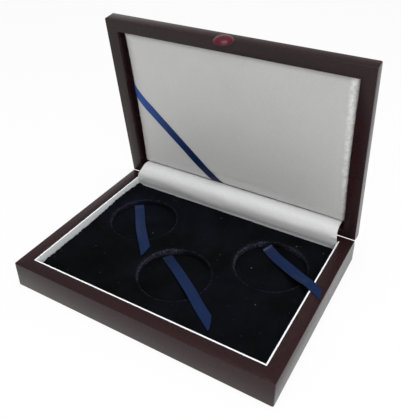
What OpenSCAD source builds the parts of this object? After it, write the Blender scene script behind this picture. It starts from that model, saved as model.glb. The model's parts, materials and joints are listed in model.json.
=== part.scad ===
// Display case for three round badges: a shallow hinged wooden box, shown with its lid open.
// The base holds a velvet pad with three recesses and lift ribbons, the lid a satin pad.
// The origin is the centre of the underside. +X is the width, +Y runs to the hinges, +Z is up.

/* [Case] */
// Outside width of base and lid
case_w = 180; // [178:1:186]
// Outside depth, from the front face to the rear face
case_d = 131; // [130:1:136]
// Height of the base, from the underside to its rim
base_h = 17.7; // [17.2:0.1:19]
// Height of the lid, from its rim to its top
lid_h = 8.4; // [8.2:0.1:9.4]
// Thickness of every rail
rail_t = 8.5; // [8.3:0.1:9]
// Flat taken off the long outer edges of the rails
edge_break = 0.4; // [0.2:0.1:0.8]
// Radius of the upright corners of base and lid
corner_r = 1; // [0.5:0.1:1.5]

/* [Lid and hinges] */
// Angle of the lid from closed, as displayed
lid_angle = 82.4; // [78:0.2:90]
// Distance from the hinge line to the rear face
hinge_inset = 3; // [2.6:0.1:3.2]
// Height of the bevel along each rear edge
bevel_h = 7; // [6:0.1:7.5]
// Gap between the two rims when closed
rim_gap = 0.5; // [0.4:0.05:0.6]
// Distance of each hinge from the middle of the case
hinge_x = 50; // [40:1:60]
// Length of a hinge
hinge_l = 20; // [18:1:24]
// Radius of the domed knob
knob_r = 6.5; // [5.5:0.1:7]
// How far the knob stands out from the lid
knob_out = 3.2; // [2.5:0.1:4]

/* [Insert] */
// Height of the velvet above the underside
velvet_z = 12.3; // [12:0.1:12.8]
// Radius of each round recess
recess_r = 23.25; // [23.1:0.05:23.6]
// Depth of each recess
recess_depth = 4.2; // [4:0.1:4.4]
// Distance of the two rear recesses from the middle
recess_x = 49.5; // [49.3:0.1:49.7]
// Place of the two rear recesses along the depth
recess_rear_y = 19; // [18.8:0.1:19.2]
// Place of the front recess along the depth
recess_front_y = -18.2; // [-18.4:0.1:-18]

/* [Linings and ribbons] */
// Thickness of the satin-covered strips in the base
liner_t = 1; // [0.8:0.1:1.1]
// Width of the lift ribbons and the corner ribbon
ribbon_w = 7; // [6:0.5:7]
// Height of the satin pad's crown above its card
crown_h = 2.5; // [1.8:0.1:2.7]
// How far the satin pad's sides draw in between its corners
draw_in = 1; // [0.5:0.1:1.5]
// Fullness of the hinge flap
flap_bulge = 1; // [0.8:0.05:1.1]

/* [Hidden] */

// Facets of a full circle, and one more than any solid's size
$fn = 64;
far = 200;

// Colours, as the photograph shows them
wood = [0.27, 0.13, 0.13];
board = [0.55, 0.5, 0.42];
felt = [0.12, 0.1, 0.1];
velvet = [0.05, 0.05, 0.09];
satin = [0.86, 0.86, 0.85];
foam = [0.82, 0.82, 0.78];
navy = [0.11, 0.2, 0.42];
lacquer_red = [0.45, 0.08, 0.1];
brass = [0.76, 0.6, 0.3];

// Boards and rabbets
felt_t = 0.8;
base_panel_t = 3;
lid_panel_t = 2.5;
rabbet_w = 4;
floor_z = felt_t + base_panel_t;
inner_w = case_w - 2 * rail_t;
inner_d = case_d - 2 * rail_t;
panel_w = inner_w + 2 * rabbet_w;
panel_d = inner_d + 2 * rabbet_w;

// Hinge line, and the hinge's own sizes
hinge_y = case_d / 2 - hinge_inset;
hinge_z = base_h + rim_gap / 2;
rim = rim_gap / 2;
leaf_w = 5;
leaf_t = 0.8;
knuckle_r = 1.6;
pin_r = 0.8;
running_gap = 0.05;
fixed_gap = 0.02;
knuckle_room = 0.2;
knuckle_mid = 6.8;
pin_past = 0.3;

// Screws of the hinge leaves
screw_dx = 6.5;
screw_y = -3.3;
screw_r = 0.7;
screw_head_r = 1.25;
screw_head_h = 0.6;
screw_l = 4.6;

// Insert
velvet_t = 0.6;
disc_t = 0.5;
insert_gap = 0.2;
flap_room = 1.2;
insert_w = inner_w - 2 * liner_t - 2 * insert_gap;
insert_front = -inner_d / 2 + liner_t + insert_gap;
insert_rear = inner_d / 2 - flap_room;
board_top = velvet_z - recess_depth - disc_t;
pad_edge_r = 2.2;
liner_proud = 0.1;
recess_left = [-recess_x, recess_rear_y];
recess_front = [0, recess_front_y];
recess_right = [recess_x, recess_rear_y];
recesses = [recess_left, recess_front, recess_right];

// Ribbons: centre lines of the three lift ribbons, from the recess floor to the free end
ribbon_t = 0.2;
ribbon_steps = 5;
on_floor = velvet_z - recess_depth + 0.15;
on_velvet = velvet_z + 0.5;
on_rim = hinge_z + 0.03;

// Each route's points are x, y, z and how far the ribbon rolls about its length there
route_left = [
    [-65.2, 34.44, on_floor, 0], [-64.4, 33.41, on_floor + 1.6, 0], [-61.6, 29.8, on_floor + 0.9, 0],
    [-55, 21.3, on_floor + 1.15, 0], [-47.1, 11.2, on_velvet - 1.8, 0], [-38.6, 1.5, on_velvet - 0.1, 0],
    [-32, -5.5, on_velvet + 0.1, 0], [-25, -13.2, on_velvet + 0.4, 0]
];
route_front = [
    [-16, -2.83, on_floor, 0], [-15.1, -3.42, on_floor + 0.7, 0], [-11.9, -5.5, on_floor + 0.4, 0],
    [-3.6, -10.9, on_floor + 1.05, 0], [7.6, -19.2, on_velvet - 1.9, 0], [19, -28, on_velvet, 0],
    [29, -35.6, on_velvet, 0], [44, -46.2, on_velvet + 0.6, 0]
];
route_right = [
    [37.95, 36.85, on_floor + 0.15, 0], [39.2, 36.01, on_floor + 2.65, 16], [41.6, 34.4, on_floor + 2.25, 20],
    [49, 29.4, on_floor + 2.35, 20], [58, 23.6, on_velvet - 0.6, 19], [66.3, 18, on_velvet + 1.3, 16],
    [72.6, 13.4, on_velvet + 3.4, 9], [78, 10, on_rim, 0], [83.5, 6.9, on_rim, 0], [90.5, 3.2, on_rim, 0]
];

// How much shorter each ribbon's inner edge is, where its end is cut on the slant
slant_left = 8.5;
slant_front = 10.5;
slant_right = 6.4;

// Lid, drawn closed with the hinge line at its origin
lid_floor = rim + lid_h - lid_panel_t;
lining_board_t = 0.8;
lining_z = lid_floor - lining_board_t;
satin_t = 0.4;
pad_shift = 0.8;
pad_side_gap = 1.5;
pad_front_gap = 0.6;
pad_half_w = inner_w / 2 - pad_side_gap;
pad_front = -hinge_y - inner_d / 2 + pad_front_gap;
pad_rear = -9.6;
pad_half_d = (pad_rear - pad_front) / 2;
pad_mid_y = (pad_rear + pad_front) / 2;
pad_round = 6;
pad_edge_h = 0.8;
end_draw = 0.4;
pad_nx = 20;
pad_ny = 16;
ribbon_past = 0.4;
ribbon_x = -pad_half_w + pad_shift - ribbon_past;
ribbon_end = pad_rear - ribbon_past;
ribbon_offset = 4.6;
ribbon_lift = 0.25;
ribbon_nx = 24;
knob_low = 2.2;
knob_relief = 0.4;
dome_power = 0.9;
tenon_r = 1.2;
tenon_l = 5;
tenon_z = rim + 2.3;
tenon_room = 0.3;

// Hinge flap
flap_t = 0.8;
flap_side_gap = 0.3;
flap_w = inner_w - 2 * liner_t - 2 * flap_side_gap;
flap_taper = 3;
flap_steps = 16;
foot_lift = 0.5;
bow_out = 3.6;
bow_up = 3;
tuck = [-12, -0.5];
tuck_drop = 5;
top_back = [0.4, 0.7];
top_sink = 0.6;

// Outline extruded along X, its first axis along Y and its second along Z
module across(l) rotate([90, 0, 90]) translate([0, 0, -l / 2]) linear_extrude(l) children();

// Upright block with its two lower corners square and its two upper ones round
module arch_outline(w, z0, z1, r) {
    translate([-w / 2, z0]) square([w, z1 - z0 - r]);
    translate([-w / 2 + r, z0]) square([w - 2 * r, z1 - z0]);
    for (side = [-1, 1]) translate([side * (w / 2 - r), z1 - r]) circle(r);
}

// Rectangular pad with all four upper edges round
module soft_block(w, d, z0, z1, r) intersection() {
    across(w + 2) arch_outline(d, z0, z1, r);
    rotate([0, 0, 90]) across(d + 2) arch_outline(w, z0, z1, r);
}

// Section of a rail: outer face at 0, underside at 0, rabbet at the lower inner edge
module rail_outline(h, rabbet_h) polygon([
    [edge_break, 0], [rail_t - rabbet_w, 0], [rail_t - rabbet_w, rabbet_h], [rail_t, rabbet_h],
    [rail_t, h], [edge_break, h], [0, h - edge_break], [0, edge_break]
]);

// Plan of a rail with both ends mitred
module mitre_outline(l) polygon([
    [-l / 2, 0], [l / 2, 0], [l / 2 - rail_t, rail_t], [-l / 2 + rail_t, rail_t]
]);

// A rail of a given length, its outer face a given distance in front of the middle
module rail(l, reach, h, rabbet_h) translate([0, -reach, 0]) intersection() {
    across(l) rail_outline(h, rabbet_h);
    linear_extrude(h) mitre_outline(l);
}

// Plan of the whole case with rounded upright corners
module case_outline() {
    square([case_w - 2 * corner_r, case_d], center = true);
    square([case_w, case_d - 2 * corner_r], center = true);
    for (x = [-1, 1], y = [-1, 1])
        translate([x * (case_w / 2 - corner_r), y * (case_d / 2 - corner_r)]) circle(corner_r);
}

// What the rear bevel takes off a frame of height h
module bevel_waste(h) across(case_w + 2) polygon([
    [hinge_y, h], [case_d / 2, h - bevel_h], [case_d / 2 + 1, h - bevel_h],
    [case_d / 2 + 1, h + 1], [hinge_y, h + 1]
]);

// One of the four rails of a frame whose rim is at height h
module frame_rail(turn, h, rabbet_h) {
    along_x = turn == 0 || turn == 180;
    l = along_x ? case_w : case_d;
    reach = along_x ? case_d / 2 : case_w / 2;
    difference() {
        intersection() {
            rotate([0, 0, turn]) rail(l, reach, h, rabbet_h);
            linear_extrude(h) case_outline();
        }
        if (turn != 0) bevel_waste(h);
    }
}

// Room in a rear rail for both hinges and their screws
module hinge_mortises(h) for (side = [-1, 1]) translate([side * hinge_x, hinge_y, h]) {
    translate([-hinge_l / 2 - running_gap, -leaf_w - running_gap, -leaf_t])
        cube([hinge_l + 2 * running_gap, leaf_w + 1, leaf_t + 1]);
    reach = knuckle_r + knuckle_room;
    translate([-hinge_l / 2 - 2 * pin_past, -reach, rim - reach])
        cube([hinge_l + 4 * pin_past, reach + hinge_inset + 1, reach + 1]);
    for (dx = [-screw_dx, screw_dx])
        translate([dx, screw_y, -screw_l - leaf_t])
            cylinder(r = screw_r + running_gap, h = screw_l + leaf_t + 1);
}

// Flips a frame that stands on its underside, so that its rim faces down
module flipped(h) translate([0, 0, h]) mirror([0, 0, 1]) children();

// Turns what is drawn closed, with the hinge line at its origin, to the displayed angle
module opened() translate([0, hinge_y, hinge_z]) rotate([-lid_angle, 0, 0]) children();

// Places a frame of the lid in the closed drawing
module lid_frame() opened() translate([0, -hinge_y, rim]) flipped(lid_h) children();

// Base: rails, boards and linings
module base_front_rail() color(wood) frame_rail(0, base_h, floor_z);
module base_rear_rail() color(wood) difference() {
    frame_rail(180, base_h, floor_z);
    hinge_mortises(base_h);
}
module base_left_rail() color(wood) frame_rail(-90, base_h, floor_z);
module base_right_rail() color(wood) frame_rail(90, base_h, floor_z);
module base_panel() color(board) translate([-panel_w / 2, -panel_d / 2, felt_t])
    cube([panel_w, panel_d, base_panel_t]);
module base_felt() color(felt) translate([-panel_w / 2, -panel_d / 2, 0])
    cube([panel_w, panel_d, felt_t]);
module liner_front() color(satin) translate([-inner_w / 2, -inner_d / 2, floor_z])
    cube([inner_w, liner_t, base_h + liner_proud - floor_z]);
module side_liner(x) color(satin) translate([x, -inner_d / 2 + liner_t, floor_z])
    cube([liner_t, inner_d - liner_t, base_h + liner_proud - floor_z]);

// Insert: board, foam with three holes, and velvet over the foam and into the holes
module on_insert() translate([0, (insert_front + insert_rear) / 2, 0]) children();
module recess_cylinders(r) for (at = recesses)
    translate([at.x, at.y, board_top - 1]) cylinder(r = r, h = far);
module insert_board() color(board) translate([-insert_w / 2, insert_front, floor_z])
    cube([insert_w, insert_rear - insert_front, board_top - floor_z]);
module foam_block() on_insert() soft_block(
    insert_w - 2 * velvet_t, insert_rear - insert_front - 2 * velvet_t,
    board_top, velvet_z - velvet_t, pad_edge_r - velvet_t
);
module insert_foam() color(foam) difference() {
    foam_block();
    recess_cylinders(recess_r + velvet_t);
}
module velvet_cover() color(velvet) difference() {
    on_insert() soft_block(insert_w, insert_rear - insert_front, board_top, velvet_z, pad_edge_r);
    difference() {
        foam_block();
        recess_cylinders(recess_r + velvet_t);
    }
    recess_cylinders(recess_r);
}
module recess_floor(at) color(velvet) translate([at.x, at.y, board_top])
    cylinder(r = recess_r - running_gap, h = disc_t);

// A smooth curve through given points, at a given place between point 0 and the last
function curve_at(p, s) =
    let(
        n = len(p) - 1,
        i = max(0, min(floor(s), n - 1)),
        u = s - i,
        a = p[max(i - 1, 0)], b = p[i], c = p[i + 1], d = p[min(i + 2, n)]
    )
    b + 0.5 * u * (c - a + u * (2 * a - 5 * b + 4 * c - d + u * (3 * (b - c) + d - a)));

// A ribbon's edge: its centre line there, moved by half a width to one side, 1 or -1, and rolled
function edge_at(p, s, side) =
    let(
        step = 0.02,
        v = curve_at(p, s + step) - curve_at(p, s - step),
        at = curve_at(p, s),
        square = [-v.y, v.x, 0] / norm([v.x, v.y])
    )
    [at.x, at.y, at.z] + (square * cos(at[3]) + [0, 0, sin(at[3])]) * side * ribbon_w / 2;

// Closed strip between two rows of points, t thick in the direction of z
module strip(row_a, row_b, t) {
    n = len(row_a);
    up = [0, 0, t / 2];
    points = [for (i = [0 : n - 1]) each [row_a[i] - up, row_b[i] - up, row_b[i] + up, row_a[i] + up]];
    quads = [for (i = [0 : n - 2], k = [0 : 3]) [
        4 * i + k, 4 * i + (k + 1) % 4, 4 * i + 4 + (k + 1) % 4, 4 * i + 4 + k
    ]];
    end = 4 * (n - 1);
    polyhedron(points, concat(
        [for (q = quads) each [[q[0], q[2], q[1]], [q[0], q[3], q[2]]]],
        [[0, 1, 2], [0, 2, 3], [end, end + 2, end + 1], [end, end + 3, end + 2]]
    ));
}

// Lift ribbon along a route, with its free end cut on the slant
module lift_ribbon(route, slant) {
    last = len(route) - 1;
    n = last * ribbon_steps;
    cut = slant / norm(route[last] - route[last - 1]);
    long_edge = [for (i = [0 : n]) edge_at(route, last * i / n, -1)];
    short_edge = [for (i = [0 : n]) edge_at(route, (last - cut) * i / n, 1)];
    color(navy) strip(long_edge, short_edge, ribbon_t);
}

// Lengths of a hinge's knuckles: the two outer ones are the base's, the middle one the lid's
outer_knuckles = [
    [-hinge_l / 2, -knuckle_mid / 2 - knuckle_room],
    [knuckle_mid / 2 + knuckle_room, hinge_l / 2]
];
middle_knuckle = [[-knuckle_mid / 2, knuckle_mid / 2]];

// Leaf of a hinge below its line, with the given knuckles and bore
module hinge_leaf(knuckles, bore_r) color(brass) difference() {
    edge = knuckle_r + knuckle_room;
    union() {
        translate([-hinge_l / 2, -leaf_w, -rim - leaf_t]) cube([hinge_l, leaf_w - edge, leaf_t]);
        for (k = knuckles) translate([k[0], 0, 0]) {
            rotate([0, 90, 0]) cylinder(r = knuckle_r, h = k[1] - k[0]);
            translate([0, -edge, -rim - leaf_t]) cube([k[1] - k[0], edge - knuckle_r * 0.75, leaf_t]);
        }
    }
    translate([-hinge_l, 0, 0]) rotate([0, 90, 0]) cylinder(r = bore_r, h = 2 * hinge_l);
    for (dx = [-screw_dx, screw_dx]) translate([dx, screw_y, -rim]) {
        translate([0, 0, -leaf_t - 1]) cylinder(r = screw_r + running_gap, h = leaf_t + 2);
        translate([0, 0, -screw_head_h - running_gap])
            cylinder(r1 = screw_r + running_gap, r2 = screw_head_r + running_gap,
                h = screw_head_h + running_gap);
    }
}
module hinge_screws() color(brass) for (side = [-1, 1], dx = [-screw_dx, screw_dx])
    translate([side * hinge_x + dx, screw_y, -rim]) {
        translate([0, 0, -screw_l]) cylinder(r = screw_r, h = screw_l - screw_head_h / 2);
        translate([0, 0, -screw_head_h])
            cylinder(r1 = screw_r, r2 = screw_head_r, h = screw_head_h - running_gap);
    }
module hinge_pin() color(brass) translate([-hinge_l / 2 - pin_past, 0, 0])
    rotate([0, 90, 0]) cylinder(r = pin_r, h = hinge_l + 2 * pin_past);
module on_hinge_line(x) translate([x, hinge_y, hinge_z]) children();
module base_leaf(x) on_hinge_line(x) hinge_leaf(outer_knuckles, pin_r + fixed_gap);
module lid_leaf(x) opened() translate([x, 0, 0]) mirror([0, 0, 1])
    hinge_leaf(middle_knuckle, pin_r + running_gap);

// Lid: rails, panel and knob
module lid_front_rail() color(wood) difference() {
    lid_frame() frame_rail(0, lid_h, lid_panel_t);
    opened() translate([0, -hinge_y - case_d / 2 - 1, tenon_z])
        rotate([-90, 0, 0]) cylinder(r = tenon_r + running_gap, h = 1 + tenon_l + tenon_room);
}
module lid_rear_rail() color(wood) lid_frame() difference() {
    frame_rail(180, lid_h, lid_panel_t);
    hinge_mortises(lid_h);
}
module lid_left_rail() color(wood) lid_frame() frame_rail(-90, lid_h, lid_panel_t);
module lid_right_rail() color(wood) lid_frame() frame_rail(90, lid_h, lid_panel_t);
module lid_panel() color(wood) lid_frame() translate([-panel_w / 2, -panel_d / 2, 0])
    cube([panel_w, panel_d, lid_panel_t]);
module thumb_knob() color(lacquer_red) opened() translate([0, -hinge_y - case_d / 2, 0]) {
    difference() {
        translate([0, 0, rim - knob_low]) rotate([90, 0, 0]) rotate_extrude() polygon(concat(
            [[0, 0]],
            [for (a = [0 : 7.5 : 90]) [knob_r * cos(a), knob_out * pow(sin(a), dome_power)]]
        ));
        translate([-far / 2, -knob_relief, -far]) cube([far, far, far + rim]);
    }
    translate([0, 0, tenon_z]) rotate([-90, 0, 0]) cylinder(r = tenon_r, h = tenon_l);
}

// Satin pad: a grid of points from u, v in -1 to 1, denser towards the edges
function pad_side(i, n) = sin(-90 + 180 * i / n);
function pad_half(v, inset) = pad_half_w - inset - draw_in * (1 - v * v);
function pad_fall(d) = let(k = max(0, min(1, d / pad_round))) sqrt(k * (2 - k));
function pad_point(u, v, inset) =
    let(
        half = pad_half(v, inset),
        half_y = pad_half_d - inset - end_draw * draw_in * (1 - u * u),
        fall = pad_fall(half * (1 - abs(u))) * pad_fall(half_y * (1 - abs(v))),
        rise = pad_edge_h + (crown_h - pad_edge_h) * fall - inset
    )
    [pad_shift + half * u, pad_mid_y + half_y * v, lining_z - rise];
function pad_grid(inset) = [for (j = [0 : pad_ny], i = [0 : pad_nx])
    pad_point(pad_side(i, pad_nx), pad_side(j, pad_ny), inset)];
function pad_index(i, j) = j * (pad_nx + 1) + i;
pad_edge = concat(
    [for (i = [0 : pad_nx - 1]) pad_index(i, 0)],
    [for (j = [0 : pad_ny - 1]) pad_index(pad_nx, j)],
    [for (i = [pad_nx : -1 : 1]) pad_index(i, pad_ny)],
    [for (j = [pad_ny : -1 : 1]) pad_index(0, j)]
);
pad_faces = [for (j = [0 : pad_ny - 1], i = [0 : pad_nx - 1]) each [
    [pad_index(i, j), pad_index(i + 1, j), pad_index(i + 1, j + 1)],
    [pad_index(i, j), pad_index(i + 1, j + 1), pad_index(i, j + 1)]
]];
pad_skin = pad_grid(0);
pad_core = pad_grid(satin_t);
edge_n = len(pad_edge);
grid_n = len(pad_skin);
function foot_ring(grid) = [for (k = pad_edge) [grid[k].x, grid[k].y, lining_z]];
function turned_over(faces, by) = [for (f = faces) [f[0] + by, f[2] + by, f[1] + by]];

// Band of faces between two rings of point numbers
function band(a, b) = [for (k = [0 : edge_n - 1]) each [
    [a[k], b[k], b[(k + 1) % edge_n]], [a[k], b[(k + 1) % edge_n], a[(k + 1) % edge_n]]
]];
function count_from(first) = [for (k = [0 : edge_n - 1]) first + k];
module lining_board() color(board) opened() translate([0, 0, lining_z])
    linear_extrude(lining_board_t) polygon([for (k = pad_edge) [pad_skin[k].x, pad_skin[k].y]]);
module lining_foam() color(foam) opened() polyhedron(
    concat(pad_core, foot_ring(pad_core)),
    concat(pad_faces, band(pad_edge, count_from(grid_n)),
        [[for (k = [edge_n - 1 : -1 : 0]) grid_n + k]])
);
module lining_satin() color(satin) opened() polyhedron(
    concat(pad_skin, pad_core, foot_ring(pad_skin), foot_ring(pad_core)),
    concat(
        pad_faces,
        band(pad_edge, count_from(2 * grid_n)),
        band(count_from(2 * grid_n), count_from(2 * grid_n + edge_n)),
        band(count_from(2 * grid_n + edge_n), [for (k = pad_edge) k + grid_n]),
        turned_over(pad_faces, grid_n)
    )
);

// Height of the satin under a point of the closed lid
function satin_z(x, y) =
    let(
        v = (y - pad_mid_y) / pad_half_d,
        half = pad_half(v, 0),
        u = (x - pad_shift) / half,
        fall = pad_fall(half * (1 - abs(u))) * pad_fall(pad_half_d * (1 - abs(v)))
    )
    lining_z - pad_edge_h - (crown_h - pad_edge_h) * fall;

// Corner ribbon: each long edge runs at 45 degrees from the side of the pad to its rear edge
module corner_ribbon() {
    half = ribbon_w / sqrt(2);
    rows = [for (edge = [half, -half]) [for (i = [0 : ribbon_nx])
        let(
            shift = ribbon_offset + edge,
            x = ribbon_x + (ribbon_end - shift - ribbon_x) * (1 + pad_side(i, ribbon_nx)) / 2,
            y = x + shift
        )
        [x, y, satin_z(x, y) - ribbon_lift]
    ]];
    color(navy) opened() strip(rows[0], rows[1], ribbon_t);
}

// Hinge flap: a bowed strip from the rear wall of the base to the rear edge of the satin pad
function turned(p) = [
    p.x * cos(lid_angle) + p.y * sin(lid_angle), -p.x * sin(lid_angle) + p.y * cos(lid_angle)
];
function bezier(p, t) =
    pow(1 - t, 3) * p[0] + 3 * t * pow(1 - t, 2) * p[1] + 3 * t * t * (1 - t) * p[2] + pow(t, 3) * p[3];
flap_foot = [insert_rear + flap_room / 2 - hinge_y, board_top + foot_lift - hinge_z];
flap_bow = [
    [flap_foot.x, velvet_z - hinge_z],
    [flap_foot.x - bow_out * flap_bulge, bow_up],
    turned([tuck.x, tuck.y - tuck_drop * flap_bulge]),
    turned([pad_rear + top_back[0], lining_z - crown_h * top_sink])
];
flap_line = concat(
    [flap_foot],
    [for (i = [0 : flap_steps]) bezier(flap_bow, i / flap_steps)],
    [turned([pad_rear + top_back[1], lining_z])]
);
function square_to(a, b) = let(v = b - a) [-v.y, v.x] / norm(v);
function line_side(p, i) =
    let(n = len(p) - 1) square_to(p[max(i - 1, 0)], p[min(i + 1, n)]);
module hinge_flap() color(satin) intersection() {
    translate([0, hinge_y, hinge_z]) across(flap_w) polygon(concat(
        [for (i = [0 : len(flap_line) - 1]) flap_line[i] + line_side(flap_line, i) * flap_t / 2],
        [for (i = [len(flap_line) - 1 : -1 : 0]) flap_line[i] - line_side(flap_line, i) * flap_t / 2]
    ));
    top_z = hinge_z + turned([pad_rear, lining_z]).y;
    translate([0, far / 2, 0]) rotate([90, 0, 0]) linear_extrude(far) polygon([
        [-flap_w / 2, 0], [flap_w / 2, 0], [flap_w / 2, base_h], [flap_w / 2 - flap_taper, top_z + 2],
        [-flap_w / 2 + flap_taper, top_z + 2], [-flap_w / 2, base_h]
    ]);
}

base_front_rail();
base_rear_rail();
base_left_rail();
base_right_rail();
base_panel();
base_felt();
liner_front();
side_liner(-inner_w / 2);  // liner_left
side_liner(inner_w / 2 - liner_t);  // liner_right
insert_board();
insert_foam();
velvet_cover();
recess_floor(recess_left);  // recess_floor_left
recess_floor(recess_front);  // recess_floor_front
recess_floor(recess_right);  // recess_floor_right
lift_ribbon(route_left, slant_left);  // lift_ribbon_left
lift_ribbon(route_front, slant_front);  // lift_ribbon_front
lift_ribbon(route_right, slant_right);  // lift_ribbon_right
base_leaf(-hinge_x);  // hinge_base_leaf_left
base_leaf(hinge_x);  // hinge_base_leaf_right
on_hinge_line(-hinge_x) hinge_pin();  // hinge_pin_left
on_hinge_line(hinge_x) hinge_pin();  // hinge_pin_right
on_hinge_line(0) hinge_screws();  // base_screws
lid_front_rail();
lid_rear_rail();
lid_left_rail();
lid_right_rail();
lid_panel();
lining_board();
lining_foam();
lining_satin();
corner_ribbon();
thumb_knob();
lid_leaf(-hinge_x);  // hinge_lid_leaf_left
lid_leaf(hinge_x);  // hinge_lid_leaf_right
opened() mirror([0, 0, 1]) hinge_screws();  // lid_screws
hinge_flap();
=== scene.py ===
"""Looks of the badge display case: an open hinged box in dark red lacquer, lined with velvet and satin."""

import json
import logging
import math
import random
from contextlib import contextmanager
from dataclasses import dataclass, field
from enum import Enum
from typing import Callable, ClassVar, Iterator, Sequence

import bmesh
import bpy
import numpy as np
from mathutils import Euler, Matrix, Vector, noise


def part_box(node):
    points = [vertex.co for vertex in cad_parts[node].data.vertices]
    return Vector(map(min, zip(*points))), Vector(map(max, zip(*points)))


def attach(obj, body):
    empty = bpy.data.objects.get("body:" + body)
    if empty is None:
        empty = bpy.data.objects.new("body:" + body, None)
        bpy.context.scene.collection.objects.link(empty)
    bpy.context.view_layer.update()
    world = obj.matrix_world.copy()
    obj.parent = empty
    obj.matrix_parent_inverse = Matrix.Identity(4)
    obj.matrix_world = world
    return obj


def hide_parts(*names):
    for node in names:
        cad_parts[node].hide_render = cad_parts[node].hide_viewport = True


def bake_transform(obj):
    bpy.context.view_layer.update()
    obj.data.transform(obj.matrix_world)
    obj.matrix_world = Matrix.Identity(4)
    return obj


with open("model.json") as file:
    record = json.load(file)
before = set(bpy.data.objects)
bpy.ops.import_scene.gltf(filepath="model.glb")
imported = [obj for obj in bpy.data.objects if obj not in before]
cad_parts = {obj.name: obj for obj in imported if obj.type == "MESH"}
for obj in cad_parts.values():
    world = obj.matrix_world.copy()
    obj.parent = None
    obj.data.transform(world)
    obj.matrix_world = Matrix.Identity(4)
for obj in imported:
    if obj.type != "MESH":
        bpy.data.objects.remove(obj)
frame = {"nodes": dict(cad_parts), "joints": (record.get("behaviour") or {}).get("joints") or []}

MM = 0.001
SEED = 11
log = logging.getLogger("badge_case")

Colour = tuple[float, float, float]
Point = tuple[float, float, float]


# Shader sockets and materials


class Sock:
    """A shader socket that takes part in Python arithmetic: each operator adds a Math node."""

    def __init__(self, tree: bpy.types.NodeTree, socket: bpy.types.NodeSocket) -> None:
        """Wraps an output socket.

        Args:
            tree: The node tree that the socket is in.
            socket: The output socket.
        """
        self.tree = tree
        self.socket = socket

    def math(self, operation: str, other: "Sock | float | None" = None, swap: bool = False) -> "Sock":
        """Adds a Math node.

        Args:
            operation: Name of the Math node's operation.
            other: The second value, if the operation has one.
            swap: Whether the second value comes first.

        Returns:
            The Math node's output.
        """
        node = self.tree.nodes.new("ShaderNodeMath")
        node.operation = operation
        values = [self] if other is None else ([other, self] if swap else [self, other])
        for slot, value in zip(node.inputs, values):
            if isinstance(value, Sock):
                self.tree.links.new(value.socket, slot)
            else:
                slot.default_value = value
        return Sock(self.tree, node.outputs[0])

    def output(self, name: str) -> "Sock":
        """Another output of the same node.

        Args:
            name: The output's name.

        Returns:
            The output.
        """
        return Sock(self.tree, self.socket.node.outputs[name])

    def __add__(self, other: "Sock | float") -> "Sock":
        """Sum."""
        return self.math("ADD", other)

    __radd__ = __add__

    def __mul__(self, other: "Sock | float") -> "Sock":
        """Product."""
        return self.math("MULTIPLY", other)

    __rmul__ = __mul__

    def __sub__(self, other: "Sock | float") -> "Sock":
        """Difference."""
        return self.math("SUBTRACT", other)

    def __rsub__(self, other: float) -> "Sock":
        """Difference from a number."""
        return self.math("SUBTRACT", other, swap=True)

    def __pow__(self, other: float) -> "Sock":
        """Power."""
        return self.math("POWER", other)

    def step(self, low: float, high: float) -> "Sock":
        """Clamped ramp that is 0 up to low and 1 from high.

        Args:
            low: Where the ramp starts.
            high: Where it ends.

        Returns:
            The ramp.
        """
        node = self.tree.nodes.new("ShaderNodeMapRange")
        self.tree.links.new(self.socket, node.inputs["Value"])
        node.inputs["From Min"].default_value = low
        node.inputs["From Max"].default_value = high
        return Sock(self.tree, node.outputs[0])


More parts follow.
